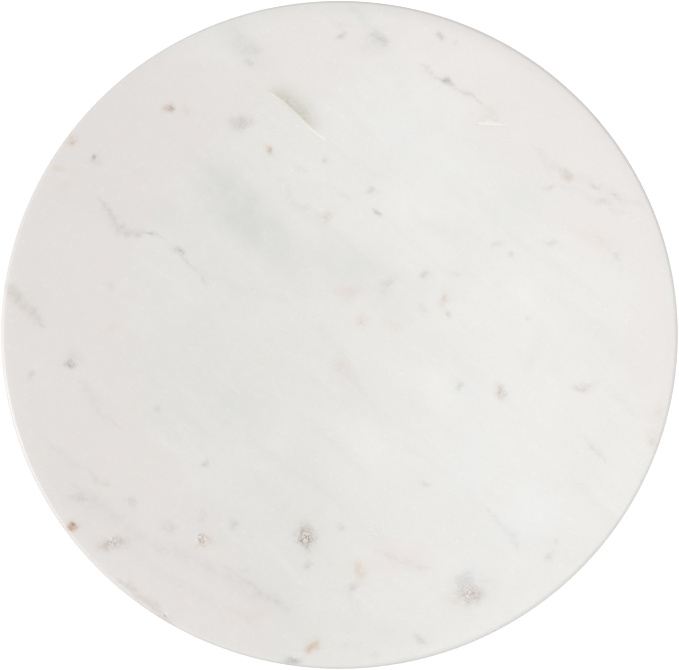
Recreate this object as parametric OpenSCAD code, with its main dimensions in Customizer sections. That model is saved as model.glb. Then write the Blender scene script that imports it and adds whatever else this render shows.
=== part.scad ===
// Round stone turntable on a low ball bearing: a stone slab, a two-ring
// bearing with caged balls, and six screwed-on rubber feet.
// Units are millimetres. Z is up, and the feet stand on Z = 0.

/* [Stone top] */
// Diameter of the stone slab
top_d = 305; // [260:5:400]
// Thickness of the stone slab
top_t = 18; // [16:1:25]
// Radius that eases the slab's upper and lower edges
edge_r = 2; // [1:0.5:4]

/* [Bearing] */
// Outside diameter of the fixed ring
bearing_d = 200; // [180:5:240]
// Height of the fixed ring
ring_h = 9; // [9:0.5:12]
// Width of each ring, from the ball circle to its far edge
ring_w = 17; // [17:0.5:22]
// Diameter of a ball
ball_d = 4; // [4:0.5:5]
// Number of balls
ball_n = 24; // [12:1:30]
// Play between a ball and the grooves it rolls in
ball_play = 0.1; // [0.05:0.05:0.2]

/* [Fixings] */
// Number of screws that hold the turning ring to the slab
ring_screw_n = 6; // [3:1:8]
// Number of feet under the fixed ring
foot_n = 6; // [3:1:8]
// Height of the fixed ring above the table
foot_h = 6; // [6:0.5:10]
// Thickness of the foam gasket between the turning ring and the slab
gasket_t = 0.8; // [0.5:0.1:2]

/* [Hidden] */
$fn = 96;
cut = 1;             // how far a cutting shape runs past the face it cuts
sink = 0.1;          // how far a flush screw head sits below its surface

// Heights, from the table up
ball_z = foot_h + ring_h / 2;
ring_top_z = foot_h + ring_h;
turning_lift = 0.5;  // underside of the turning ring above the fixed ring's
turning_rise = 1.2;  // top of the turning ring above the fixed ring's
turning_z = foot_h + turning_lift;
turning_top_z = ring_top_z + turning_rise;
slab_z = turning_top_z + gasket_t;
slab_top_z = slab_z + top_t;

// Radii, from the turning axis out
top_r = top_d / 2;
fixed_r = bearing_d / 2;
pitch_r = fixed_r - ring_w;
turning_r = pitch_r - ring_w;
lip_gap = 1.2;       // gap between the two rings' lips
turning_lip_r = pitch_r - lip_gap / 2;
fixed_lip_r = pitch_r + lip_gap / 2;
fixing_offset = 9;   // ball circle to the screw circle on either side
ring_screw_r = pitch_r - fixing_offset;
foot_r = pitch_r + fixing_offset;
chamfer = 0.4;
rim_chamfer = 0.8;

// Ball track: a round groove in each ring, and a channel that holds the cage
ball_r = ball_d / 2;
groove_r = ball_r + ball_play;
cage_w = 1.4;
cage_h = ball_d + 1.8;
channel_w = cage_w + 1.2;
channel_h = cage_h + 0.6;
pocket_r = ball_r + 0.15;

// M4 screws and what holds them
m4_r = 2;
m4_hole_r = 2.25;
thread_r = 2.05;
flat_head_r = 4;
flat_head_h = 2;
ring_screw_l = slab_z - turning_z + 5.5;
pan_head_r = 4;
pan_head_h = 2.4;
foot_screw_l = foot_h + 4;
recess_arm = [4.4, 0.9];   // length and width of a cross recess's arm
recess_depth = 1.4;

// Inserts glued into blind holes in the slab
insert_r = 3.9;
insert_neck_r = 3.4;
insert_h = 9;
insert_bore_h = 8;
insert_groove_h = 1.2;
insert_hole_r = 4.1;
insert_hole_h = 10;

// Feet and their washers
foot_body_r = 7.5;
foot_plug_r = 6;
foot_seat_r = 6.15;
foot_seat_h = 1.5;
foot_round_r = 1;
foot_recess_r = 4.6;
foot_recess_h = 4.2;
washer_r = 4.4;
washer_t = 0.8;
gasket_margin = 1;

// Plug that closes the hole through which the balls are loaded
plug_r = ball_r + 0.45;
plug_hole_r = plug_r + 0.05;
plug_inset = 0.6;
plug_angle = 120;
hex_r = 1.45;
hex_depth = 2.5;

function two_digits(i) = str(i < 10 ? "0" : "", i);
function ball_name(i) = str("ball_", two_digits(i));
function foot_name(i) = str("foot_", i);

// Copies the children count times round the turning axis.
module round_copies(count, radius, first = 0) {
    for (i = [0:count - 1])
        rotate([0, 0, first + i * 360 / count])
            translate([radius, 0, 0])
                children();
}

module at_ring_screws() {
    round_copies(ring_screw_n, ring_screw_r) children();
}

// The feet stand half-way between the ring screws.
module at_feet() {
    round_copies(foot_n, foot_r, 180 / foot_n) children();
}

module at_foot(i) {
    rotate([0, 0, (i - 0.5) * 360 / foot_n])
        translate([foot_r, 0, 0])
            children();
}

module at_ball(i) {
    rotate([0, 0, (i - 1) * 360 / ball_n])
        translate([pitch_r, 0, ball_z])
            children();
}

// A rectangle from (x1, y1) to (x2, y2) with cut corners: c_in at x1, c_out at x2.
module cut_corner_box(x1, y1, x2, y2, c_in, c_out) {
    polygon([
        [x1 + c_in, y1], [x2 - c_out, y1], [x2, y1 + c_out], [x2, y2 - c_out],
        [x2 - c_out, y2], [x1 + c_in, y2], [x1, y2 - c_in], [x1, y1 + c_in]
    ]);
}

// Section of the space between the rings: the cage channel and the ball groove.
module track_section() {
    translate([pitch_r, ball_z]) {
        square([channel_w, channel_h], center = true);
        circle(groove_r);
    }
}

module ball_groove() {
    rotate_extrude()
        translate([pitch_r, ball_z])
            circle(groove_r);
}

// Cross recess cut down from z = 0.
module cross_recess() {
    for (turn = [0, 90])
        rotate([0, 0, turn])
            translate([-recess_arm[0] / 2, -recess_arm[1] / 2, -cut])
                cube([recess_arm[0], recess_arm[1], recess_depth + cut]);
}

module marble_top() {
    color("whitesmoke")
    difference() {
        rotate_extrude() {
            translate([0, slab_z])
                square([top_r - edge_r, top_t]);
            translate([0, slab_z + edge_r])
                square([top_r, top_t - 2 * edge_r]);
            for (z = [slab_z + edge_r, slab_top_z - edge_r])
                translate([top_r - edge_r, z])
                    circle(edge_r);
        }
        at_ring_screws()
            translate([0, 0, slab_z - cut])
                cylinder(r = insert_hole_r, h = insert_hole_h + cut);
    }
}

// Brass inserts with two keying grooves, closed at the upper end.
module threaded_inserts() {
    color("goldenrod")
    at_ring_screws()
        translate([0, 0, slab_z])
            difference() {
                cylinder(r = insert_r, h = insert_h);
                translate([0, 0, -cut])
                    cylinder(r = thread_r, h = insert_bore_h + cut);
                for (z = [2, 5.5])
                    translate([0, 0, z])
                        difference() {
                            cylinder(r = insert_r + cut, h = insert_groove_h);
                            cylinder(r = insert_neck_r, h = insert_groove_h);
                        }
            }
}

module foam_gasket() {
    color("dimgray")
    difference() {
        translate([0, 0, turning_top_z])
            cylinder(r = turning_lip_r - gasket_margin, h = gasket_t);
        translate([0, 0, turning_top_z - cut])
            cylinder(r = turning_r + gasket_margin, h = gasket_t + 2 * cut);
        at_ring_screws()
            translate([0, 0, turning_top_z - cut])
                cylinder(r = m4_hole_r, h = gasket_t + 2 * cut);
    }
}

module turning_ring() {
    color("silver")
    difference() {
        rotate_extrude()
            difference() {
                cut_corner_box(turning_r, turning_z, turning_lip_r, turning_top_z,
                               rim_chamfer, chamfer);
                track_section();
            }
        at_ring_screws()
            translate([0, 0, turning_z]) {
                translate([0, 0, -cut])
                    cylinder(r = m4_hole_r, h = turning_top_z - turning_z + 2 * cut);
                translate([0, 0, -cut])
                    cylinder(r = flat_head_r + 0.2, h = cut + sink);
                translate([0, 0, sink])
                    cylinder(r1 = flat_head_r + 0.2, r2 = m4_hole_r, h = flat_head_h);
            }
    }
}

// Flat-head screws, driven up through the turning ring into the inserts.
module ring_screws() {
    color("lightsteelblue")
    at_ring_screws()
        translate([0, 0, turning_z + sink])
            difference() {
                union() {
                    cylinder(r1 = flat_head_r, r2 = m4_r, h = flat_head_h);
                    cylinder(r = m4_r, h = ring_screw_l);
                }
                cross_recess();
            }
}

module ball_cage() {
    color("ivory")
    difference() {
        translate([0, 0, ball_z - cage_h / 2])
            difference() {
                cylinder(r = pitch_r + cage_w / 2, h = cage_h);
                translate([0, 0, -cut])
                    cylinder(r = pitch_r - cage_w / 2, h = cage_h + 2 * cut);
            }
        for (i = [1:ball_n])
            at_ball(i)
                rotate([0, 90, 0])
                    cylinder(r = pocket_r, h = cage_w + 2 * cut, center = true);
    }
}

module ball(i) {
    color("gainsboro")
    at_ball(i)
        sphere(ball_r);
}

module loading_hole(radius) {
    rotate([0, 0, plug_angle])
        translate([pitch_r, 0, ball_z])
            rotate([0, 90, 0])
                cylinder(r = radius, h = ring_w + cut);
}

module fixed_ring() {
    color("silver")
    difference() {
        rotate_extrude()
            difference() {
                cut_corner_box(fixed_lip_r, foot_h, fixed_r, ring_top_z,
                               chamfer, rim_chamfer);
                track_section();
            }
        at_feet() {
            translate([0, 0, foot_h - cut])
                cylinder(r = foot_seat_r, h = foot_seat_h + cut);
            translate([0, 0, foot_h])
                cylinder(r = thread_r, h = ring_h + cut);
        }
        loading_hole(plug_hole_r);
    }
}

// Headless screw with a hex socket, dished at its inner end to carry on the groove.
module loading_plug() {
    plug_inner_r = pitch_r + channel_w / 2;
    plug_l = fixed_r - plug_inset - plug_inner_r;
    color("dimgray")
    difference() {
        rotate([0, 0, plug_angle])
            translate([plug_inner_r, 0, ball_z])
                rotate([0, 90, 0])
                    difference() {
                        cylinder(r = plug_r, h = plug_l);
                        translate([0, 0, plug_l - hex_depth])
                            cylinder(r = hex_r, h = hex_depth + cut, $fn = 6);
                    }
        ball_groove();
    }
}

module foot(i) {
    color([0.12, 0.12, 0.12])
    at_foot(i)
        difference() {
            rotate_extrude() {
                square([foot_body_r - foot_round_r, foot_h]);
                translate([0, foot_round_r])
                    square([foot_body_r, foot_h - foot_round_r]);
                translate([foot_body_r - foot_round_r, foot_round_r])
                    circle(foot_round_r);
                square([foot_plug_r, foot_h + foot_seat_h]);
            }
            translate([0, 0, -cut])
                cylinder(r = foot_recess_r, h = foot_recess_h + cut);
            cylinder(r = m4_hole_r, h = foot_h + foot_seat_h + cut);
        }
}

module foot_washers() {
    color("gray")
    at_feet()
        translate([0, 0, foot_recess_h - washer_t])
            difference() {
                cylinder(r = washer_r, h = washer_t);
                translate([0, 0, -cut])
                    cylinder(r = m4_hole_r, h = washer_t + 2 * cut);
            }
}

// Pan-head screws, driven up through the feet into the fixed ring.
module foot_screws() {
    head_z = foot_recess_h - washer_t - pan_head_h;
    crown_h = 0.8;
    crown_r = pan_head_r - crown_h;
    color("lightsteelblue")
    at_feet()
        translate([0, 0, head_z])
            difference() {
                union() {
                    rotate_extrude() {
                        translate([0, crown_h])
                            square([pan_head_r, pan_head_h - crown_h]);
                        square([crown_r, pan_head_h]);
                        translate([crown_r, crown_h])
                            circle(crown_h);
                    }
                    cylinder(r = m4_r, h = pan_head_h + foot_screw_l);
                }
                cross_recess();
            }
}

marble_top();
threaded_inserts();
foam_gasket();
turning_ring();
ring_screws();
ball_cage();
fixed_ring();
loading_plug();
foot_washers();
foot_screws();
for (i = [1:foot_n])
    foot(i);
for (i = [1:ball_n])
    ball(i);
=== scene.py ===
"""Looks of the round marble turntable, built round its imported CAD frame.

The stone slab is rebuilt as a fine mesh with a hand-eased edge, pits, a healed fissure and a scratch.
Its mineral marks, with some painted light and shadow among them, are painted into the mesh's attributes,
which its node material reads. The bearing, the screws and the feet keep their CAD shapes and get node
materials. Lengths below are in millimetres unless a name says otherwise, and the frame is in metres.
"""
import math

import bpy
import numpy as np
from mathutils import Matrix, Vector, noise
from mathutils.geometry import delaunay_2d_cdt


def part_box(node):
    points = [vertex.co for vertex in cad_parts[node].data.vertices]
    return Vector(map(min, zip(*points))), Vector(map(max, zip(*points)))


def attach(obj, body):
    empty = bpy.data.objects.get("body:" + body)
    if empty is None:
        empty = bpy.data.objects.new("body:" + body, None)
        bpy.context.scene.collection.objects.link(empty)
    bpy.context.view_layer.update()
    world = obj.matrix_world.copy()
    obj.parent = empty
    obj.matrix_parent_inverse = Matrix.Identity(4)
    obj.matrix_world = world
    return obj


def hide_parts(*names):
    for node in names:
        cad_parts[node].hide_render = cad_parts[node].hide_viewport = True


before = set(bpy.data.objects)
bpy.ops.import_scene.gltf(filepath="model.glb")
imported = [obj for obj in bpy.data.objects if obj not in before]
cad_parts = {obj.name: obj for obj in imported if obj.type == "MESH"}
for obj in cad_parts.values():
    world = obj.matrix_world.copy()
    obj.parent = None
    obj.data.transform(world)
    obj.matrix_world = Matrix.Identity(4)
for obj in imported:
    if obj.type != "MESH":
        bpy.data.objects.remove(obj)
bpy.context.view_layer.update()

MM = 0.001

# ---------------------------------------------------------------- sizes read from the frame

slab_low, slab_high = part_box("marble_top")
SLAB_R = (slab_high.x - slab_low.x) / 2 / MM
SLAB_BOTTOM = slab_low.z / MM
SLAB_TOP = slab_high.z / MM
EDGE_R = 2.0                    # the eased edges, as on the CAD slab
INSERT_R = 3.9                  # outside of a brass insert
INSERT_HOLE_R = 4.1
INSERT_HOLE_DEPTH = 10.0
INSERT_COUNT = 6
INSERT_CIRCLE_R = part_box("threaded_inserts")[1].x / MM - INSERT_R

# ---------------------------------------------------------------- marks in the stone
# Each spot: kind, x, y, half length, half width, angle in degrees, strength.
# Each streak: kind, half width, strength, and the points that it runs through.
# +X is to the right of somebody who stands in front of the slab, and +Y is away from them.

SPOTS = [
    # rust and iron stains
    ("iron", -78, 100, 2.3, 1.9, 0, 0.66),
    ("rust", -79, 101, 3.2, 2.4, 10, 0.55),
    ("rust", -70, 100, 2.2, 2.2, 0, 0.25),
    ("rust", -122, 85, 3.4, 2.6, 40, 0.60),
    ("iron", -122, 84, 1.2, 0.8, 0, 0.40),
    ("rust", -129, 72, 3.0, 2.4, 0, 0.34),
    ("rust", -33, 81, 3.2, 1.7, 115, 0.70),
    ("iron", -32, 80, 1.8, 1.0, 115, 0.55),
    ("rust", -118, -90, 2.6, 2.2, 0, 1.00),
    ("iron", -118, -90, 1.7, 1.5, 0, 0.95),
    ("iron", -15, -95, 4.8, 3.3, 100, 0.85),
    ("rust", -16, -93, 4.2, 3.0, 120, 0.35),
    ("rust", 9, -110, 4.6, 3.4, 105, 0.55),
    ("iron", 10, -111, 0.9, 0.8, 0, 0.30),
    ("rust", -12, -143, 3.3, 3.0, 0, 0.90),
    ("iron", -12, -143, 1.8, 1.6, 0, 0.35),
    ("rust", 72, -30, 2.3, 4.0, 5, 0.42),
    ("rust", 47, 12, 1.6, 3.8, 0, 0.46),
    ("rust", 104, 68, 2.9, 2.2, 20, 0.42),
    ("iron", 57, -120, 5.2, 3.0, 10, 0.36),
    ("pink", 57, -121, 6.4, 3.9, 10, 1.00),
    ("iron", 17, 52, 2.0, 1.5, 0, 0.24),
    ("rust", 143, -40, 2.4, 4.2, 0, 0.30),
    ("rust", 117, 40, 9.0, 4.0, -20, 0.13),
    ("rust", -122, 68, 9.0, 3.0, 60, 0.10),
    # painted shade above the scratch, in the rust colour
    ("rust", 68, 98, 4.2, 3.2, 0, 0.16),
    ("rust", -37, -129, 8.5, 3.0, 12, 0.15),
    ("rust", -103, -2, 3.2, 1.8, 50, 0.16),
    # grey, dark and pink mineral spots
    ("grey", -113, 77, 1.1, 1.1, 0, 1.00),
    ("grey", -112, 76, 2.8, 2.6, 0, 0.30),
    ("grey", -45, 94, 4.4, 3.3, 0, 0.72),
    ("grey", -42, 122, 2.4, 1.9, 0, 0.50),
    ("grey", -45, 131, 10.0, 5.0, -40, 0.15),
    ("grey", -40, 128, 3.6, 2.8, 0, 0.20),
    ("grey", 1, 135, 2.0, 1.8, 0, 0.62),
    ("grey", 18, 134, 5.0, 2.4, -12, 0.52),
    ("grey", 17, 130, 6.0, 4.0, 0, 0.18),
    ("grey", 46, 135, 1.8, 1.6, 0, 0.70),
    ("grey", 53, 132, 1.6, 1.4, 0, 0.24),
    ("grey", 50, 113, 2.4, 1.3, -12, 1.00),
    ("grey", 95, 63, 2.2, 1.6, 0, 0.36),
    ("grey", 117, 64, 1.6, 1.4, 0, 0.46),
    ("grey", 120, 57, 3.0, 1.6, -5, 0.50),
    ("grey", 126, 60, 1.6, 1.2, 0, 0.40),
    ("grey", 103, 70, 3.4, 2.0, -20, 0.40),
    ("grey", 17, 52, 1.6, 1.3, 0, 0.50),
    ("grey", 14, 62, 2.4, 1.6, -8, 0.52),
    ("grey", 3, 59, 2.6, 1.4, -10, 0.22),
    ("grey", -6, 76, 1.7, 1.2, 0, 0.42),
    ("grey", -17, 72, 3.2, 1.6, 0, 0.22),
    ("pink", -6, 50, 3.6, 2.8, 30, 0.95),
    ("grey", -5, 50, 1.8, 1.4, 30, 0.25),
    ("grey", -72, 34, 2.6, 1.5, -20, 0.62),
    ("grey", -121, -18, 2.2, 1.8, -20, 0.95),
    ("grey", -120, -15, 4.2, 4.0, 0, 0.22),
    ("grey", -138, -23, 1.5, 1.8, 0, 0.40),
    ("grey", -103, 18, 1.8, 1.6, 0, 0.20),
    ("grey", -92, -80, 3.4, 2.0, -35, 0.40),
    ("grey", -116, -78, 4.4, 1.8, 0, 0.36),
    ("grey", -100, -98, 6.2, 3.0, 8, 0.56),
    ("rust", -101, -98, 5.6, 2.8, 8, 0.30),
    ("grey", -61, -96, 3.0, 2.6, 0, 0.50),
    ("rust", -60, -97, 3.8, 3.0, 0, 0.50),
    ("grey", -76, -90, 3.8, 3.0, 0, 0.28),
    ("grey", -61, -85, 1.8, 2.4, 0, 0.24),
    ("grey", -47, -89, 2.6, 2.2, 0, 0.46),
    ("grey", -14, -107, 1.5, 2.2, 0, 0.50),
    ("grey", 1, -91, 1.6, 1.8, 0, 0.46),
    ("grey", 6, -117, 2.6, 1.6, 55, 0.50),
    ("grey", -15, -95, 6.0, 5.0, 90, 0.30),
    ("grey", 58, -118, 9.5, 7.0, 10, 0.34),
    ("grey", 54, -114, 5.0, 3.0, 30, 0.30),
    ("grey", 93, -103, 2.2, 2.2, 0, 0.52),
    ("grey", 96, -96, 1.6, 1.2, 0, 0.24),
    ("grey", -21, -149, 4.2, 1.3, 8, 1.00),
    ("grey", -42, -109, 2.6, 1.2, 0, 0.20),
    ("grey", 72, -30, 2.2, 3.6, 8, 0.40),
    ("grey", 54, -27, 1.4, 2.0, -20, 0.60),
    ("grey", 49, 5, 1.8, 1.2, -40, 0.60),
    ("grey", 47, 12, 1.0, 2.8, 0, 0.22),
    ("grey", 39, 23, 2.4, 2.2, 0, 0.50),
    ("grey", 52, 23, 2.2, 1.4, -30, 0.28),
    ("grey", 22, 19, 4.4, 2.4, 55, 0.36),
    ("grey", 37, 7, 2.6, 2.6, 0, 0.20),
    ("grey", -60, -63, 1.8, 1.5, 0, 0.58),
    ("grey", -81, -37, 2.0, 1.6, 0, 0.34),
    ("grey", 39, -71, 1.6, 1.2, 0, 0.36),
    ("grey", 96, 38, 3.2, 1.2, -12, 0.40),
    ("grey", 78, 33, 1.7, 1.3, 0, 0.44),
    ("grey", 71, 37, 2.2, 1.6, 0, 0.34),
    ("grey", 125, 31, 1.8, 3.0, -30, 0.24),
    ("grey", 85, 3, 1.8, 1.3, -30, 0.26),
    ("grey", 109, -28, 4.2, 1.5, 10, 0.34),
    ("pink", 110, -28, 5.0, 3.0, 0, 0.50),
    ("grey", 140, -52, 1.8, 1.8, 0, 0.36),
    ("pink", 140, -50, 3.0, 4.5, 0, 0.50),
    ("grey", 119, 96, 2.0, 1.5, -55, 0.60),
    ("pink", 10, 2, 2.8, 3.0, 0, 0.85),
    ("grey", 10, 1, 0.9, 0.9, 0, 0.62),
    ("pink", 3, 15, 6.5, 4.5, 0, 0.60),
    ("pink", 1, -19, 4.6, 3.4, -50, 0.62),
    ("pink", 24, 0, 5.0, 2.6, 0, 0.42),
    ("grey", 36, -140, 2.4, 1.5, -25, 0.50),
    ("pink", 37, -140, 4.0, 2.2, -15, 0.50),
    ("grey", 16, -147, 2.0, 1.5, 0, 0.28),
    ("grey", 3, -143, 1.6, 1.2, 0, 0.26),
]

STREAKS = [
    # soft veins, most of which run from the far left to the near right
    ("grey", 1.9, 0.52, [(-109, 59), (-104, 51), (-98, 42), (-93, 43), (-86, 42)]),
    ("iron", 1.3, 0.34, [(-88, 42), (-81, 41)]),
    ("grey", 0.8, 0.36, [(-72, 34), (-66, 26), (-60, 19)]),
    ("pink", 1.8, 0.20, [(-66, 26), (-54, 21), (-42, 16), (-28, 12), (-8, 14)]),
    ("grey", 2.6, 0.48, [(-152, 20), (-141, 9), (-133, -1)]),
    ("rust", 3.2, 0.22, [(-152, 18), (-140, 5)]),
    ("grey", 2.2, 0.17, [(-117, -24), (-112, -32), (-106, -41), (-98, -46)]),
    ("grey", 1.1, 0.26, [(-112, -66), (-107, -70), (-102, -73)]),
    ("grey", 2.0, 0.14, [(-130, -52), (-122, -60), (-113, -66)]),
    ("grey", 2.4, 0.24, [(4, 149), (10, 144), (18, 137)]),
    ("grey", 2.2, 0.18, [(-7, 146), (-2, 141), (6, 139)]),
    ("grey", 1.3, 0.46, [(38, 121), (46, 115), (56, 109), (64, 104)]),
    ("grey", 1.6, 0.20, [(60, 107), (66, 102), (71, 97)]),
    ("grey", 2.2, 0.20, [(88, 83), (96, 74), (104, 70), (114, 66), (126, 59), (138, 55)]),
    ("grey", 1.5, 0.18, [(98, 66), (112, 60), (124, 53), (132, 51)]),
    ("grey", 1.6, 0.24, [(66, -83), (70, -88), (76, -95), (80, -101)]),
    ("grey", 1.4, 0.34, [(110, -50), (114, -56), (118, -62)]),
    ("grey", 1.4, 0.12, [(118, -28), (127, -35), (133, -42)]),
    ("grey", 3.4, 0.20, [(-119, -72), (-100, -86), (-84, -98), (-66, -104), (-44, -115), (-22, -127)]),
    ("grey", 3.0, 0.10, [(-96, -98), (-78, -112), (-58, -122), (-36, -134)]),
    ("grey", 1.2, 0.22, [(-50, -108), (-38, -117), (-28, -124)]),
    ("grey", 1.4, 0.16, [(-24, 64), (-21, 57), (-13, 53), (-7, 50)]),
    ("pink", 3.6, 0.30, [(16, -101), (27, -105), (42, -109)]),
    ("grey", 1.0, 0.24, [(18, -102), (26, -105), (34, -108), (40, -108)]),
    ("grey", 2.0, 0.44, [(-98, -113), (-88, -121), (-80, -128), (-72, -134)]),
    ("rust", 1.8, 0.20, [(-96, -114), (-84, -124), (-76, -130)]),
    ("grey", 2.4, 0.10, [(92, 2), (88, -10), (84, -20)]),
    ("grey", 2.6, 0.10, [(-10, 0), (4, -18), (10, -32)]),
    ("grey", 1.4, 0.12, [(118, 40), (124, 32), (128, 26)]),
    # painted shade along the upper side of the scratch
    ("grey", 1.2, 0.20, [(62, 93), (68, 96), (75, 94)]),
]

# Broad soft zones: kind, x, y, half length, half width, angle, strength.
# A negative strength takes a tone away where zones overlap.
# The broad light zones right of the middle and along the far edge are painted light: brighter stone colour in
# place of lamp light. The other zones are tones of the stone.
ZONES = [
    ("shade", -51, 60, 20, 10, -47, 1.00),
    ("shade", -33, 42, 22, 10, -47, 1.00),
    ("shade", 8, 26, 24, 10, -30, 0.65),
    ("shade", -76, 49, 14, 7, -30, 0.34),
    ("shade", -44, 132, 14, 7, -50, 0.55),
    ("shade", 17, 134, 12, 7, 0, 0.40),
    ("shade", 82, 57, 12, 10, 0, 0.34),
    ("shade", 5, -138, 34, 12, 0, 0.30),
    ("shade", -34, -120, 18, 9, -20, 0.34),
    ("shade", -60, -20, 46, 40, -60, 0.10),
    ("shade", -20, -84, 40, 16, -10, 0.20),
    ("shade", -112, -82, 24, 12, -40, 0.24),
    ("shade", -140, 12, 8, 12, 0, 0.24),
    ("shade", 20, 70, 16, 10, -50, 0.18),
    ("warm", -73, 105, 48, 28, 35, 1.00),
    ("warm", -111, 64, 46, 30, 60, 1.00),
    ("warm", -128, 4, 46, 34, 90, 1.00),
    ("warm", -114, -54, 46, 32, -65, 1.00),
    ("warm", -82, -98, 46, 30, -40, 1.00),
    ("warm", -50, -124, 34, 16, -25, 0.80),
    ("warm", -12, 128, 30, 20, 0, 1.00),
    ("warm", -50, 132, 20, 12, -15, -1.00),
    ("warm", 64, 122, 46, 22, -28, 1.00),
    ("warm", 106, 84, 36, 24, -52, 1.00),
    ("warm", 124, 46, 24, 20, 0, 0.90),
    ("warm", 142, -10, 14, 40, 0, 0.90),
    ("warm", 26, -104, 20, 9, -8, 0.80),
    ("warm", 68, 90, 12, 10, 0, 0.60),
    ("cool", 27, 88, 9, 9, 0, 0.90),
    ("cool", 46, 77, 12, 8, -20, 0.70),
    ("cool", 59, -32, 10, 8, 0, 0.60),
    ("cool", 58, -62, 11, 18, 0, 0.90),
    ("cool", 87, -84, 13, 13, 0, 1.00),
    ("cool", 74, -94, 10, 10, 0, 0.60),
    ("cool", 57, -110, 10, 7, 0, 0.60),
    ("cool", 79, 16, 8, 7, 0, 0.40),
    # painted light right of the middle
    ("light", 76, -10, 56, 110, 12, 0.42),
    ("light", 30, 96, 40, 46, 0, 0.36),
    # painted light along the far edge
    ("light", 0, 136, 100, 30, 0, 0.40),
    ("light", 32, 56, 14, 10, -30, 0.42),
    ("light", -69, 16, 11, 8, -20, 0.42),
    ("light", 16, -55, 12, 9, -30, 0.60),
    ("light", 2, -44, 12, 8, -30, 0.30),
    ("light", 45, -27, 8, 12, 0, 0.45),
    ("light", 87, -84, 13, 13, 0, 0.50),
    ("light", 79, 16, 10, 8, 0, 0.35),
    ("light", -20, 74, 12, 7, -30, 0.25),
]

# Pits with a bed of crystals, their glints painted as bright specks and their hollows shaded with dark ones:
# x, y, radius, depth
PITS = [
    (-100, -97, 2.2, 0.20),
    (-61, -96, 3.0, 0.30),
    (-15, -95, 3.0, 0.25),
    (56, -120, 3.4, 0.30),
    (72, -31, 2.0, 0.25),
    (-113, 77, 0.8, 0.30),
    (-72, 34, 1.0, 0.25),
    (-77, -129, 1.6, 0.25),
    (-121, -18, 0.9, 0.20),
]

# The healed fissure, with tan stone and a painted shadow on its far side, and the short scratch
FISSURE = [(-32, 108), (-26, 103.5), (-19, 97), (-13, 90.5), (-6, 85)]
SCRATCH = [(62, 93.4), (69, 93), (76, 92.6)]
SEAM_HALF_WIDTH = 0.7
SEAM_DEPTH = 0.15
TAN_AND_SHADOW_REACH = 6.4                 # how far the tan stone and its painted shadow reach from the fissure
TAN_AND_SHADOW_MIDDLE = (-21, 100)
TAN_AND_SHADOW_HALF_LENGTH = 13

EDGE_DIP = 0.28                 # the polished face falls by this much towards its edge
EDGE_DIP_WIDTH = 6.0
EDGE_START = math.atan(2 * EDGE_DIP / EDGE_DIP_WIDTH)    # slope where the eased edge begins

# The mesh carries three kinds of mark in each of these colour attributes
MARK_ATTRIBUTES = {
    "stains": ("iron", "rust", "grey"),
    "tones": ("warm", "cool", "shade"),
    "details": ("pink", "light", "seam"),
    "pits": ("pit", "tan_and_shadow", "edge"),
}
KINDS = [kind for kinds in MARK_ATTRIBUTES.values() for kind in kinds]

SPOT_FALL = 1.1                 # how fast a spot fades away from its middle
SPOT_POWER = 1.15               # how flat its middle is
TAPER_LENGTH = 3                # a streak thins over this many half widths at each end
THINNEST_END = 0.35             # the share of its width that a streak keeps at its ends


# ---------------------------------------------------------------- the slab's mesh

RIM_STEPS = 720
HOLE_SIDES = 40
ARC_STEPS = 8                   # steps round an eased edge
WALL_STEPS = 4
DIP_RINGS = 4
TOP_SPACINGS = (2.4, 1.2, 0.6, 0.3)     # coarse, middle, fine and finest point spacing of the top face
UNDERSIDE_SPACING = 6.0
SHARP_ANGLE = math.radians(50)
RELIEF_MARGIN = 1.4             # the finest points reach this far from a fissure
PIT_MARGIN = 1.5                # and this many radii from the middle of a pit
MARK_EDGE = 0.2                 # a spot's mesh is fine where its field is stronger than this
STREAK_MARGIN = 1.5             # a streak's mesh is fine over this many half widths
PIT_REACH = 2.5                 # a pit's relief ends at this many radii
CRYSTAL_SCALE = 1.7             # how fine the crystals in a pit are
EDGE_WAVES = ((0.14, 8), (0.05, 40))    # the eased edge's unevenness: height, and how often it repeats


def spot_field(points, x, y, half_length, half_width, angle):
    """1 at the middle of a soft ellipse, falling to 0 outside it."""
    turn = math.radians(angle)
    dx, dy = points[:, 0] - x, points[:, 1] - y
    along = (dx * math.cos(turn) + dy * math.sin(turn)) / half_length
    across = (dy * math.cos(turn) - dx * math.sin(turn)) / half_width
    return np.exp(-SPOT_FALL * (along ** 2 + across ** 2) ** SPOT_POWER)


def wavy(points):
    """The points moved a little to and fro, so that marks get wandering outlines."""
    x, y = points[:, 0], points[:, 1]
    broad, narrow = 0.7, 0.4        # how far the long and the short waves move a point
    shift_x = broad * np.sin(0.53 * y + 0.21 * x) + narrow * np.sin(1.27 * y - 0.6 * x + 1.0)
    shift_y = broad * np.sin(0.47 * x - 0.18 * y + 2.0) + narrow * np.sin(1.13 * x + 0.7 * y)
    return points + np.stack([shift_x, shift_y], axis=1)


def distance_to_path(points, path):
    """Distance of each point to a path of straight pieces, and how far along the path that is."""
    nearest, along = np.full(len(points), 1e9), np.zeros(len(points))
    passed = 0.0
    for start, end in zip(path, path[1:]):
        a, b = np.array(start, float), np.array(end, float)
        share = np.clip((points - a) @ (b - a) / ((b - a) @ (b - a)), 0, 1)
        distance = np.linalg.norm(points - a - share[:, None] * (b - a), axis=1)
        length = np.linalg.norm(b - a)
        along = np.where(distance < nearest, passed + share * length, along)
        nearest = np.minimum(nearest, distance)
        passed += length
    return nearest, along


def streak_field(points, path, half_width):
    """1 along a path, falling to 0 beside it, and thinner towards both ends."""
    ends = [np.linalg.norm(points - np.array(p, float), axis=1) for p in (path[0], path[-1])]
    taper = np.clip(np.minimum(*ends) / (TAPER_LENGTH * half_width), THINNEST_END, 1)
    return np.exp(-(distance_to_path(points, path)[0] / (half_width * taper)) ** 2)


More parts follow.
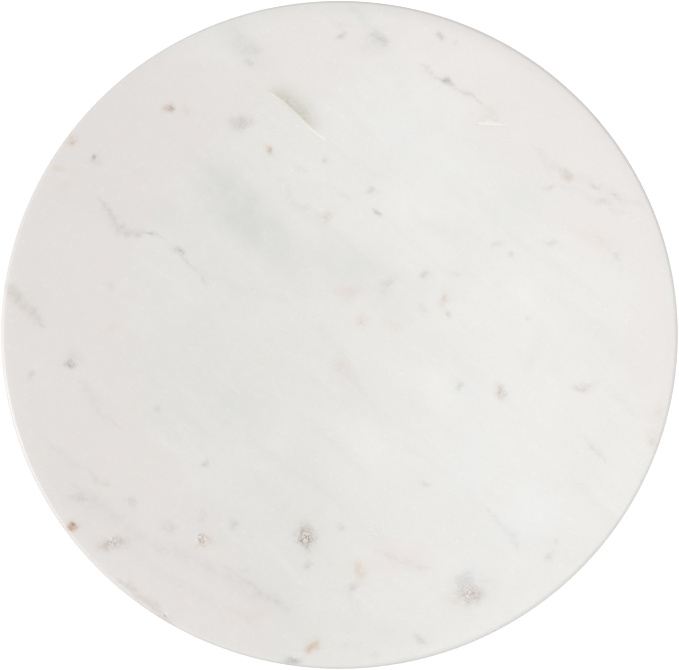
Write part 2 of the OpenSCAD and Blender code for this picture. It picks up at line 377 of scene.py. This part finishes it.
def beads(points, path):
    """Stronger and fainter stretches along a path, from 0.5 to 1."""
    along = distance_to_path(points, path)[1]
    start = path[0][0]
    return 0.75 + 0.25 * np.sin(0.9 * along + start) * np.sin(0.37 * along + 2 * start)


def tan_and_shadow_field(points):
    """Tan stone and a painted shadow on the far side of the fissure: 1 beside it, fading away from it and to
    its ends.
    """
    (x1, y1), (x2, y2) = FISSURE[0], FISSURE[-1]
    side = (x2 - x1) * (points[:, 1] - y1) - (y2 - y1) * (points[:, 0] - x1)
    away = distance_to_path(points, FISSURE)[0]
    beyond = np.linalg.norm(points - TAN_AND_SHADOW_MIDDLE, axis=1) / TAN_AND_SHADOW_HALF_LENGTH
    return np.where(side > 0, np.exp(-(away / TAN_AND_SHADOW_REACH) ** 2 - beyond ** 4), 0)


def mark_fields(points):
    """How strongly each kind of mark shows at each point of the top face, from 0 to 1."""
    fields = {kind: np.zeros(len(points)) for kind in KINDS}
    moved = wavy(points)
    for kind, x, y, half_length, half_width, angle, strength in SPOTS + ZONES:
        fields[kind] += strength * spot_field(moved, x, y, half_length, half_width, angle)
    for kind, half_width, strength, path in STREAKS:
        fields[kind] += strength * streak_field(moved, path, half_width) * beads(moved, path)
    for path in (FISSURE, SCRATCH):
        fields["seam"] += streak_field(points, path, SEAM_HALF_WIDTH)
    for x, y, radius, _ in PITS:
        fields["pit"] += spot_field(points, x, y, radius, radius, 0)
    # tan stone and painted shadow beside the fissure
    fields["tan_and_shadow"] = tan_and_shadow_field(points)
    fields["edge"] = (np.linalg.norm(points, axis=1) - SLAB_R + EDGE_R) / EDGE_R
    return {kind: np.clip(field, 0, 1) for kind, field in fields.items()}


def relief(points):
    """Height of the top face above its plane: pits, the fissure, the scratch and the fall towards the edge.
    """
    height = np.zeros(len(points))
    for x, y, radius, depth in PITS:
        near = np.linalg.norm(points - (x, y), axis=1) < PIT_REACH * radius
        for i in np.flatnonzero(near):
            crystals = noise.noise(Vector((points[i, 0] * CRYSTAL_SCALE, points[i, 1] * CRYSTAL_SCALE, x)))
            bowl = spot_field(points[i:i + 1], x, y, radius, radius, 0)[0]
            height[i] -= depth * (0.65 + 0.7 * crystals) * bowl
    for path in (FISSURE, SCRATCH):
        height -= SEAM_DEPTH * streak_field(points, path, SEAM_HALF_WIDTH)
    inward = SLAB_R - EDGE_R * (1 - math.sin(EDGE_START)) - np.linalg.norm(points, axis=1)
    height -= EDGE_DIP * np.clip(1 - inward / EDGE_DIP_WIDTH, 0, 1) ** 2
    return np.minimum(height, 0)


def lattice(spacing, radius):
    """Points of a square lattice inside a circle."""
    steps = int(radius / spacing) + 1
    axis = np.arange(-steps, steps + 1) * spacing
    grid = np.stack(np.meshgrid(axis, axis), axis=-1).reshape(-1, 2)
    return grid[np.linalg.norm(grid, axis=1) < radius]


def top_face_points(radius):
    """Lattice points, coarse on plain stone and finer towards marks, fissures and pits."""
    coarse, middle, fine, finest = TOP_SPACINGS

    def near_marks(points, margin):
        inside = np.zeros(len(points), bool)
        for _, x, y, half_length, half_width, angle, _ in SPOTS:
            strength = spot_field(points, x, y, half_length + margin, half_width + margin, angle)
            inside |= strength > MARK_EDGE
        for _, half_width, _, path in STREAKS:
            inside |= distance_to_path(points, path)[0] < STREAK_MARGIN * half_width + margin
        return inside

    def near_relief(points):
        inside = np.zeros(len(points), bool)
        for path in (FISSURE, SCRATCH):
            inside |= distance_to_path(points, path)[0] < RELIEF_MARGIN
        for x, y, pit_r, _ in PITS:
            inside |= np.linalg.norm(points - (x, y), axis=1) < PIT_MARGIN * pit_r
        return inside

    levels = [lattice(coarse, radius - coarse / 2)]
    for spacing, wanted in ((middle, lambda p: near_marks(p, 1.5)),
                            (fine, lambda p: near_marks(p, 0.2)),
                            (finest, near_relief)):
        points = lattice(spacing, radius - spacing)
        levels.append(points[wanted(points)])
    merged = np.concatenate(levels)
    merged = np.unique(np.round(merged / finest).astype(int), axis=0) * finest
    outermost = radius + 0.5
    dip_rings = [circle_points(outermost - step * EDGE_DIP_WIDTH / DIP_RINGS) for step in range(DIP_RINGS)]
    return np.concatenate([merged] + dip_rings)


def even_angles(count):
    """Angles of evenly spaced points on a circle, in radians."""
    return np.arange(count) * 2 * math.pi / count


def edge_radii(seed):
    """The eased edge's radius round the slab, a little uneven because it was eased by hand."""
    radii = np.full(RIM_STEPS, EDGE_R)
    for height, pace in EDGE_WAVES:
        for i, a in enumerate(even_angles(RIM_STEPS)):
            radii[i] += height * noise.noise(Vector((pace * math.cos(a), pace * math.sin(a), seed)))
    return radii


def circle_points(radius, centre=(0, 0), count=RIM_STEPS):
    """Points on a circle; the radius is one number, or one for each point."""
    angles = even_angles(count)
    ring = np.stack([np.cos(angles), np.sin(angles)], axis=1)
    return ring * np.reshape(radius, (-1, 1)) + centre


def triangulate(boundary, holes, inner_points):
    """Triangles between a boundary loop and hole loops through the inner points.

    The result's points come in the order boundary, holes, inner points.
    """
    loops = [boundary] + holes
    points = np.concatenate(loops + [inner_points])
    edges, start = [], 0
    for loop in loops:
        edges += [(start + i, start + (i + 1) % len(loop)) for i in range(len(loop))]
        start += len(loop)
    found = delaunay_2d_cdt([Vector(p) for p in points], edges, [], 1, 1e-7)
    kept_points = np.array([tuple(p) for p in found[0]])
    if len(kept_points) != len(points):
        raise RuntimeError("the triangulation merged points")
    middles = kept_points[np.array(found[2])].mean(axis=1)
    kept = np.ones(len(middles), bool)
    for hole in holes:
        centre = hole.mean(axis=0)
        kept &= np.linalg.norm(middles - centre, axis=1) > np.linalg.norm(hole[0] - centre)
    return points, [tuple(t) for t, keep in zip(found[2], kept) if keep]


class MeshParts:
    """Collects points and faces, and makes one mesh object of them."""

    def __init__(self):
        self.points = []
        self.faces = []

    def add_points(self, flat_points, heights):
        """Adds points at one height, or at one height each, and gives their indices."""
        start = len(self.points)
        heights = np.broadcast_to(heights, len(flat_points))
        self.points += [(x, y, z) for (x, y), z in zip(flat_points, heights)]
        return list(range(start, start + len(flat_points)))

    def bridge(self, lower, upper):
        """Quads between two loops of equal length; lower to upper is anticlockwise seen from outside."""
        n = len(lower)
        self.faces += [(lower[i], lower[(i + 1) % n], upper[(i + 1) % n], upper[i]) for i in range(n)]

    def build(self, name):
        """Makes the mesh object, in metres, with crisp creases and smooth faces between them."""
        mesh = bpy.data.meshes.new(name)
        mesh.from_pydata([tuple(c * MM for c in p) for p in self.points], [], self.faces)
        mesh.validate()
        mesh.shade_smooth()
        mesh.set_sharp_from_angle(angle=SHARP_ANGLE)
        made = bpy.data.objects.new(name, mesh)
        bpy.context.scene.collection.objects.link(made)
        return made


def insert_holes():
    """Loops of the blind holes in the slab's underside."""
    centres = circle_points(INSERT_CIRCLE_R, count=INSERT_COUNT)
    return [circle_points(INSERT_HOLE_R, centre, HOLE_SIDES) for centre in centres]


def make_slab():
    """The slab: its top face, eased edges, wall, underside and blind holes, as one closed mesh."""
    parts = MeshParts()
    top_edge, bottom_edge = edge_radii(1), edge_radii(2)

    top_boundary = circle_points(SLAB_R - top_edge * (1 - math.sin(EDGE_START)))
    flat, triangles = triangulate(top_boundary, [], top_face_points(SLAB_R - EDGE_R - 1))
    heights = relief(flat)
    heights[:RIM_STEPS] = -EDGE_DIP
    top_ids = parts.add_points(flat, SLAB_TOP + heights)
    parts.faces += [tuple(top_ids[i] for i in t) for t in triangles]

    loop = top_ids[:RIM_STEPS]
    wall_top = SLAB_TOP - EDGE_DIP - top_edge * math.cos(EDGE_START)
    wall_bottom = SLAB_BOTTOM + bottom_edge
    for k in range(1, ARC_STEPS + 1):
        angle = EDGE_START + (math.pi / 2 - EDGE_START) * k / ARC_STEPS
        ring = circle_points(SLAB_R - top_edge * (1 - math.sin(angle)))
        lower = parts.add_points(ring, wall_top + top_edge * math.cos(angle))
        parts.bridge(lower, loop)
        loop = lower
    for k in range(1, WALL_STEPS + 1):
        lower = parts.add_points(circle_points(SLAB_R), wall_top + (wall_bottom - wall_top) * k / WALL_STEPS)
        parts.bridge(lower, loop)
        loop = lower
    for k in range(1, ARC_STEPS):
        angle = k * math.pi / 2 / ARC_STEPS
        ring = circle_points(SLAB_R - bottom_edge * (1 - math.cos(angle)))
        lower = parts.add_points(ring, wall_bottom - bottom_edge * math.sin(angle))
        parts.bridge(lower, loop)
        loop = lower

    holes = insert_holes()
    inner = lattice(UNDERSIDE_SPACING, SLAB_R - EDGE_R - 3)
    for hole in holes:
        inner = inner[np.linalg.norm(inner - hole.mean(axis=0), axis=1) > INSERT_HOLE_R + 1]
    flat, triangles = triangulate(circle_points(SLAB_R - bottom_edge), holes, inner)
    bottom_ids = parts.add_points(flat, SLAB_BOTTOM)
    parts.faces += [tuple(bottom_ids[i] for i in reversed(t)) for t in triangles]
    parts.bridge(bottom_ids[:RIM_STEPS], loop)

    start = RIM_STEPS
    for hole in holes:
        mouth = bottom_ids[start:start + len(hole)]
        floor = parts.add_points(hole, SLAB_BOTTOM + INSERT_HOLE_DEPTH)
        parts.bridge(floor, mouth)
        parts.faces.append(tuple(reversed(floor)))
        start += len(hole)
    return parts.build("marble_slab")


def paint_marks(slab):
    """Stores the mark fields as attributes: three kinds to a colour attribute."""
    co = np.zeros(len(slab.data.vertices) * 3)
    slab.data.vertices.foreach_get("co", co)
    co = co.reshape(-1, 3) / MM
    fields = mark_fields(co[:, :2])
    depth = np.clip((co[:, 2] - SLAB_BOTTOM) / (SLAB_TOP - SLAB_BOTTOM), 0, 1)
    for name, kinds in MARK_ATTRIBUTES.items():
        layer = slab.data.attributes.new(name, "FLOAT_COLOR", "POINT")
        values = np.ones((len(co), 4))
        for channel, kind in enumerate(kinds):
            values[:, channel] = fields[kind] * depth
        layer.data.foreach_set("color", values.ravel())


# ---------------------------------------------------------------- node materials

class Material:
    """A node material: add() makes a node, and inputs are given as values or as sockets."""

    def __init__(self, name):
        self.material = bpy.data.materials.new(name)
        self.material.use_nodes = True
        self.tree = self.material.node_tree
        self.tree.nodes.clear()
        self.output = self.tree.nodes.new("ShaderNodeOutputMaterial")
        self.shader = self.tree.nodes.new("ShaderNodeBsdfPrincipled")
        self.tree.links.new(self.shader.outputs[0], self.output.inputs["Surface"])
        self.coords = self.add("TexCoord").outputs["Object"]

    def add(self, kind, settings=None, **inputs):
        node = self.tree.nodes.new("ShaderNode" + kind)
        for key, value in (settings or {}).items():
            setattr(node, key, value)
        self.feed_all(node, inputs)
        return node

    def feed_all(self, node, inputs):
        """Feeds inputs by name, where an underscore stands for a space."""
        for key, value in inputs.items():
            self.feed(node.inputs[key.replace("_", " ")], value)

    def feed(self, socket, value):
        if isinstance(value, bpy.types.NodeSocket):
            self.tree.links.new(value, socket)
        elif isinstance(value, tuple) and socket.type == "RGBA" and len(value) == 3:
            socket.default_value = (*value, 1.0)
        else:
            socket.default_value = value

    def surface(self, **inputs):
        """Feeds the Principled shader's inputs."""
        self.feed_all(self.shader, inputs)

    def in_mm(self, scale=(1, 1, 1), turn=0.0):
        """Object coordinates in millimetres, turned about Z by turn degrees and then scaled."""
        turned = self.add("Mapping", {"vector_type": "POINT"}, Vector=self.coords,
                          Rotation=(0.0, 0.0, math.radians(turn)), Scale=(1 / MM,) * 3)
        return self.add("Mapping", {"vector_type": "POINT"}, Vector=turned.outputs[0],
                        Scale=tuple(float(s) for s in scale)).outputs[0]

    def noise(self, vector, scale, detail=3.0, roughness=0.5, distortion=0.0):
        return self.add("TexNoise", Vector=vector, Scale=scale, Detail=detail, Roughness=roughness,
                        Distortion=distortion).outputs["Fac"]

    def cells(self, vector, scale):
        """A random number for each cell of a Voronoi pattern."""
        pattern = self.add("TexVoronoi", {"feature": "F1"}, Vector=vector, Scale=scale)
        return self.add("SeparateColor", Color=pattern.outputs["Color"]).outputs[1]

    def spread(self, value, low, high, to_low=0.0, to_high=1.0):
        """Maps low..high to to_low..to_high, smoothly and clamped."""
        node = self.add("MapRange", {"interpolation_type": "SMOOTHSTEP"}, Value=value)
        for index, number in zip((1, 2, 3, 4), (low, high, to_low, to_high)):
            node.inputs[index].default_value = number
        return node.outputs[0]

    def sum(self, a, b):
        return self.calculate("ADD", a, b)

    def product(self, a, b):
        return self.calculate("MULTIPLY", a, b)

    def calculate(self, operation, a, b=0.0):
        node = self.add("Math", {"operation": operation})
        self.feed(node.inputs[0], a)
        self.feed(node.inputs[1], b)
        return node.outputs[0]

    def mix(self, a, b, share, blend="MIX"):
        node = self.add("Mix", {"data_type": "RGBA", "blend_type": blend, "clamp_factor": True})
        self.feed(node.inputs["Factor"], share)
        self.feed(node.inputs[6], a)
        self.feed(node.inputs[7], b)
        return node.outputs[2]

    def attribute(self, name):
        """The three channels of a colour attribute."""
        found = self.add("Attribute", {"attribute_name": name})
        return self.add("SeparateColor", Color=found.outputs["Color"]).outputs

    def bump(self, height, distance, strength):
        return self.add("Bump", Height=height, Distance=distance * MM, Strength=strength).outputs[0]


# Colours of the stone and of the marks in it; the light, tan and crystal colours also carry painted light,
# shadow and glints
MARBLE = {
    "stone": (0.785, 0.776, 0.746),
    "pale_stone": (0.808, 0.798, 0.768),
    "drift": (0.735, 0.728, 0.70),
    "wisp": (0.86, 0.85, 0.825),
    "mottle": (0.62, 0.61, 0.585),
    "grain": (0.60, 0.595, 0.57),
    "speckle": (0.55, 0.54, 0.52),
    "warm": (0.805, 0.756, 0.738),
    "cool": (0.790, 0.800, 0.800),
    "shade": (0.640, 0.645, 0.615),
    # light: paler stone, and the colour of the painted light zones
    "light": (0.89, 0.884, 0.86),
    "pink": (0.70, 0.52, 0.50),
    # the fissure's far side: tan stone darkened by a painted shadow
    "tan_and_shadow": (0.50, 0.455, 0.345),
    "grey": (0.34, 0.335, 0.320),
    "rust": (0.62, 0.40, 0.20),
    "iron": (0.26, 0.14, 0.10),
    "seam": (0.95, 0.935, 0.89),
    # crystal specks in the pits: crystal colour with painted glints, and with painted shade in the hollows
    "bright_crystal_and_glint": (0.92, 0.90, 0.87),
    "dark_crystal_and_shade": (0.20, 0.17, 0.15),
}


def marble_material():
    """Polished marble: cloudy stone, then the marks painted on the mesh, with painted light and shadow among
    them, then crystals in the pits with painted glints and shade.
    """
    m = Material("polished_marble")
    flat = m.in_mm()
    veined = m.in_mm(scale=(0.22, 1, 0.5), turn=40)

    clouds = m.noise(flat, 0.018, detail=5, roughness=0.55, distortion=0.6)
    drift = m.noise(veined, 0.06, detail=4, roughness=0.6, distortion=0.8)
    wisps = m.noise(veined, 0.16, detail=3, roughness=0.6, distortion=0.8)
    speckle = m.noise(flat, 0.9, detail=1, roughness=0.6)
    grain = m.noise(flat, 1.6, detail=1, roughness=0.5)
    mottle = m.noise(flat, 0.30, detail=3, roughness=0.6, distortion=0.4)

    base = m.mix(MARBLE["stone"], MARBLE["pale_stone"], m.spread(clouds, 0.35, 0.65))
    # each pattern's colour, where it begins and is full, and its share there
    for colour, pattern, low, high, share in (("drift", drift, 0.48, 0.75, 0.42),
                                              ("wisp", wisps, 0.50, 0.80, 0.34),
                                              ("mottle", mottle, 0.40, 0.75, 0.06),
                                              ("grain", grain, 0.50, 0.75, 0.02),
                                              ("speckle", speckle, 0.58, 0.85, 0.03)):
        base = m.mix(base, MARBLE[colour], m.spread(pattern, low, high, 0.0, share))

    warm, cool, shade = m.attribute("tones")[:3]
    pink, light, seam = m.attribute("details")[:3]
    iron, rust, grey = m.attribute("stains")[:3]
    pit, tan_and_shadow, edge = m.attribute("pits")[:3]

    patchy = m.spread(m.noise(flat, 0.08, detail=4, roughness=0.6), 0.30, 0.65, 0.55, 1.0)
    ragged_edge = m.spread(m.noise(flat, 0.10, detail=4, roughness=0.6), 0.25, 0.75, -0.25, 0.25)
    warm_area = m.spread(m.sum(warm, ragged_edge), 0.25, 0.60)
    cool_area = m.spread(m.sum(cool, ragged_edge), 0.20, 0.80)

    ragged = m.spread(m.noise(flat, 0.45, detail=5, roughness=0.7, distortion=0.5), 0.30, 0.64, 0.30, 1.2)
    less_ragged = m.spread(ragged, 0.3, 1.2, 0.6, 1.0)
    dotted = m.spread(m.noise(flat, 1.3, detail=3, roughness=0.6), 0.35, 0.60, 0.45, 1.2)
    # each mark's colour, where it shows, and how much of it shows there
    for colour, area, share in (("warm", warm_area, 0.62),
                                ("cool", cool_area, 0.60),
                                ("shade", m.product(shade, patchy), 0.54),
                                # light: paler stone, and painted light in the broad light zones
                                ("light", m.product(light, patchy), 0.55),
                                ("pink", m.product(pink, ragged), 0.42),
                                # the fissure's far side: tan stone and painted shadow
                                ("tan_and_shadow", m.product(tan_and_shadow, less_ragged), 0.70),
                                ("grey", m.product(grey, ragged), 0.58),
                                ("rust", m.product(rust, ragged), 0.55),
                                ("iron", m.product(iron, m.product(ragged, dotted)), 0.62),
                                ("seam", seam, 0.65)):
        base = m.mix(base, MARBLE[colour], m.product(area, share))

    # Crystal specks in the pits: bright ones are painted glints, dark ones painted shade in the hollows, both
    # over the crystals' own colour
    crystal = m.cells(flat, 2.4)
    base = m.mix(base, MARBLE["bright_crystal_and_glint"], m.product(pit, m.spread(crystal, 0.66, 0.76, 0.0, 0.9)))
    base = m.mix(base, MARBLE["dark_crystal_and_shade"], m.product(pit, m.spread(crystal, 0.24, 0.14, 0.0, 0.55)))

    polish = m.spread(m.noise(flat, 0.25, detail=4, roughness=0.6), 0.3, 0.7, 0.22, 0.28)
    roughness = m.sum(polish, m.product(m.sum(m.sum(pit, seam), edge), 0.30))
    height = m.sum(speckle, m.product(grain, 0.4))
    m.surface(Base_Color=base, Roughness=roughness, IOR=1.49, Subsurface_Weight=0.15,
              Subsurface_Radius=(1.0, 0.85, 0.7), Subsurface_Scale=2.5 * MM,
              Normal=m.bump(height, 0.006, 0.3))
    return m.material


def aluminium_material():
    """Turned and clear-anodised aluminium: fine rings round the axis, worn bright at the edges."""
    m = Material("turned_aluminium")
    split = m.add("SeparateXYZ", Vector=m.in_mm())
    radius = m.calculate("SQRT", m.sum(m.product(split.outputs[0], split.outputs[0]),
                                       m.product(split.outputs[1], split.outputs[1])))
    ring_coords = m.add("CombineXYZ", X=radius, Y=split.outputs[2], Z=0.0).outputs[0]
    rings = m.noise(ring_coords, 3.5, detail=4, roughness=0.8)
    smudge = m.noise(m.in_mm(), 0.06, detail=4, roughness=0.6)
    bevel = m.add("Bevel", {"samples": 4}, Radius=0.4 * MM)
    facing = m.add("VectorMath", {"operation": "DOT_PRODUCT"})
    m.feed(facing.inputs[0], bevel.outputs[0])
    m.feed(facing.inputs[1], m.add("NewGeometry").outputs["Normal"])
    wear = m.spread(facing.outputs["Value"], 0.999, 0.93)
    base = m.mix((0.60, 0.61, 0.62), (0.72, 0.73, 0.74), rings)
    base = m.mix(base, (0.54, 0.55, 0.56), m.spread(smudge, 0.45, 0.75, 0.0, 0.5))
    base = m.mix(base, (0.88, 0.885, 0.89), m.product(wear, 0.7))
    rough = m.spread(smudge, 0.3, 0.7, 0.28, 0.42)
    m.surface(Base_Color=base, Metallic=1.0, Roughness=rough, Anisotropic=0.4,
              Normal=m.bump(rings, 0.03, 0.5))
    return m.material


def metal_material(name, colours, roughness, mottle_scale, bump_distance):
    """Plated or polished metal: a mottled coating with fine scratches."""
    m = Material(name)
    flat = m.in_mm()
    mottle = m.noise(flat, mottle_scale, detail=4, roughness=0.6)
    scratches = m.noise(m.in_mm(scale=(1, 0.08, 1), turn=33), 6.0, detail=2, roughness=0.7)
    base = m.mix(colours[0], colours[1], m.spread(mottle, 0.35, 0.65))
    base = m.mix(base, colours[2], m.spread(scratches, 0.62, 0.72, 0.0, 0.35))
    rough = m.sum(m.spread(mottle, 0.3, 0.7, roughness[0], roughness[1]),
                  m.spread(scratches, 0.60, 0.75, 0.0, 0.12))
    m.surface(Base_Color=base, Metallic=1.0, Roughness=rough,
              Normal=m.bump(m.sum(mottle, m.product(scratches, 0.3)), bump_distance, 0.5))
    return m.material


def polymer_material(name, colours, roughness, grain_scale, bump_distance, dust=None):
    """Moulded or foamed plastic and rubber: a fine grain, with dust or rubbed spots."""
    m = Material(name)
    flat = m.in_mm()
    grain = m.noise(flat, grain_scale, detail=4, roughness=0.75)
    mottle = m.noise(flat, 0.18, detail=4, roughness=0.6)
    base = m.mix(colours[0], colours[1], m.spread(mottle, 0.35, 0.65))
    base = m.mix(base, colours[1], m.spread(grain, 0.5, 0.8, 0.0, 0.5))
    if dust:
        base = m.mix(base, dust, m.product(m.spread(mottle, 0.5, 0.75), m.spread(grain, 0.45, 0.6, 0.0, 0.5)))
    rough = m.spread(grain, 0.3, 0.7, roughness[0], roughness[1])
    m.surface(Base_Color=base, Roughness=rough, Normal=m.bump(grain, bump_distance, 0.6))
    return m.material


def give(material, *nodes):
    """Puts a material on CAD nodes."""
    for name in nodes:
        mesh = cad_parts[name].data
        mesh.materials.clear()
        mesh.materials.append(material)


# ---------------------------------------------------------------- the object

slab = make_slab()
paint_marks(slab)
slab.data.materials.append(marble_material())
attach(slab, "turntable_top")
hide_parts("marble_top")

balls = [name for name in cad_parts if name.startswith("ball_") and name != "ball_cage"]
feet = [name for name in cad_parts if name.removeprefix("foot_").isdigit()]

give(aluminium_material(), "turning_ring", "fixed_ring")
give(metal_material("zinc_plated_steel", ((0.50, 0.53, 0.58), (0.62, 0.63, 0.64), (0.82, 0.82, 0.80)),
                    (0.24, 0.40), 0.9, 0.02), "ring_screws", "foot_screws", "foot_washers")
give(metal_material("brass", ((0.62, 0.43, 0.17), (0.75, 0.56, 0.26), (0.88, 0.74, 0.42)),
                    (0.25, 0.42), 0.6, 0.02), "threaded_inserts")
give(metal_material("ball_steel", ((0.62, 0.62, 0.63), (0.70, 0.70, 0.71), (0.80, 0.80, 0.80)),
                    (0.06, 0.14), 0.8, 0.004), *balls)
give(metal_material("black_oxide_steel", ((0.030, 0.031, 0.034), (0.055, 0.056, 0.060), (0.20, 0.20, 0.20)),
                    (0.35, 0.5), 0.9, 0.02), "loading_plug")
give(polymer_material("nylon", ((0.74, 0.71, 0.62), (0.82, 0.80, 0.72)), (0.42, 0.55), 3.0, 0.02),
     "ball_cage")
give(polymer_material("foot_rubber", ((0.022, 0.022, 0.023), (0.040, 0.040, 0.041)), (0.60, 0.80), 4.0,
                      0.06, dust=(0.16, 0.15, 0.14)), *feet)
give(polymer_material("foam", ((0.020, 0.020, 0.022), (0.045, 0.045, 0.048)), (0.80, 0.95), 2.5, 0.15),
     "foam_gasket")

# ---------------------------------------------------------------- floor, light and camera
# Sizes and places in this section are in metres.

FLOOR_R = 6.0
FLOOR_SIDES = 96

# Soft square lights: name, place, side, power in watts
LIGHTS = [
    ("left_window", (-2.45, -0.20, 0.80), 1.4, 42),
    ("overhead_right", (1.0, 0.10, 2.2), 2.2, 33),
    ("front_fill", (1.0, -2.1, 0.7), 1.2, 11.3),
]
LIGHT_AIM = Vector((0, 0, 0.03))
WORLD_COLOUR = (0.985, 0.992, 1.0, 1.0)
WORLD_STRENGTH = 0.348

VIEW_ELEVATION = math.radians(80.55)
VIEW_DISTANCE = 0.92
AIM = Vector((0.0, -0.0044, slab_high.z))
SENSOR_WIDTH = 36.0             # millimetres, as is the lens
LENS = 108.43


def make_floor(name, paint, seen_by_camera):
    """A round floor: the camera sees a white one, and the turntable is lit by a pale grey one."""
    mesh = bpy.data.meshes.new(name)
    angles = even_angles(FLOOR_SIDES)
    mesh.from_pydata([(FLOOR_R * math.cos(a), FLOOR_R * math.sin(a), 0.0) for a in angles], [],
                     [tuple(range(len(angles)))])
    mesh.materials.append(paint)
    made = bpy.data.objects.new(name, mesh)
    bpy.context.scene.collection.objects.link(made)
    made.visible_camera = seen_by_camera
    made.visible_diffuse = not seen_by_camera
    made.visible_glossy = not seen_by_camera
    made.visible_transmission = not seen_by_camera
    made.visible_shadow = False


white_paint = Material("white_floor")
white_paint.surface(Base_Color=(0.50, 0.50, 0.50), Roughness=0.9, Specular_IOR_Level=0.1,
                    Emission_Color=(1.0, 1.0, 1.0), Emission_Strength=0.80)
grey_paint = Material("grey_floor")
grey_paint.surface(Base_Color=(0.45, 0.45, 0.45), Roughness=0.9, Specular_IOR_Level=0.1)
white_paint.material.cycles.emission_sampling = "NONE"      # it isn't a light
make_floor("white_floor", white_paint.material, True)
make_floor("grey_floor", grey_paint.material, False)


def area_light(name, position, size, power):
    """A square soft light that faces the turntable."""
    data = bpy.data.lights.new(name, "AREA")
    data.shape = "SQUARE"
    data.size = size
    data.energy = power
    light = bpy.data.objects.new(name, data)
    light.location = position
    light.rotation_euler = (LIGHT_AIM - Vector(position)).to_track_quat("-Z", "Y").to_euler()
    bpy.context.scene.collection.objects.link(light)


for light_settings in LIGHTS:
    area_light(*light_settings)

world = bpy.data.worlds.new("studio")
world.use_nodes = True
background = world.node_tree.nodes["Background"]
background.inputs["Color"].default_value = WORLD_COLOUR
background.inputs["Strength"].default_value = WORLD_STRENGTH
bpy.context.scene.world = world

slab_centre = Vector((0.0, 0.0, slab_high.z))
camera_data = bpy.data.cameras.new("camera")
camera_data.sensor_width = SENSOR_WIDTH
camera_data.lens = LENS
camera = bpy.data.objects.new("camera", camera_data)
towards_camera = Vector((0, -math.cos(VIEW_ELEVATION), math.sin(VIEW_ELEVATION)))
camera.location = slab_centre + VIEW_DISTANCE * towards_camera
camera.rotation_euler = (AIM - camera.location).to_track_quat("-Z", "Y").to_euler()
bpy.context.scene.collection.objects.link(camera)
bpy.context.scene.camera = camera
bpy.context.scene.view_settings.view_transform = "Standard"
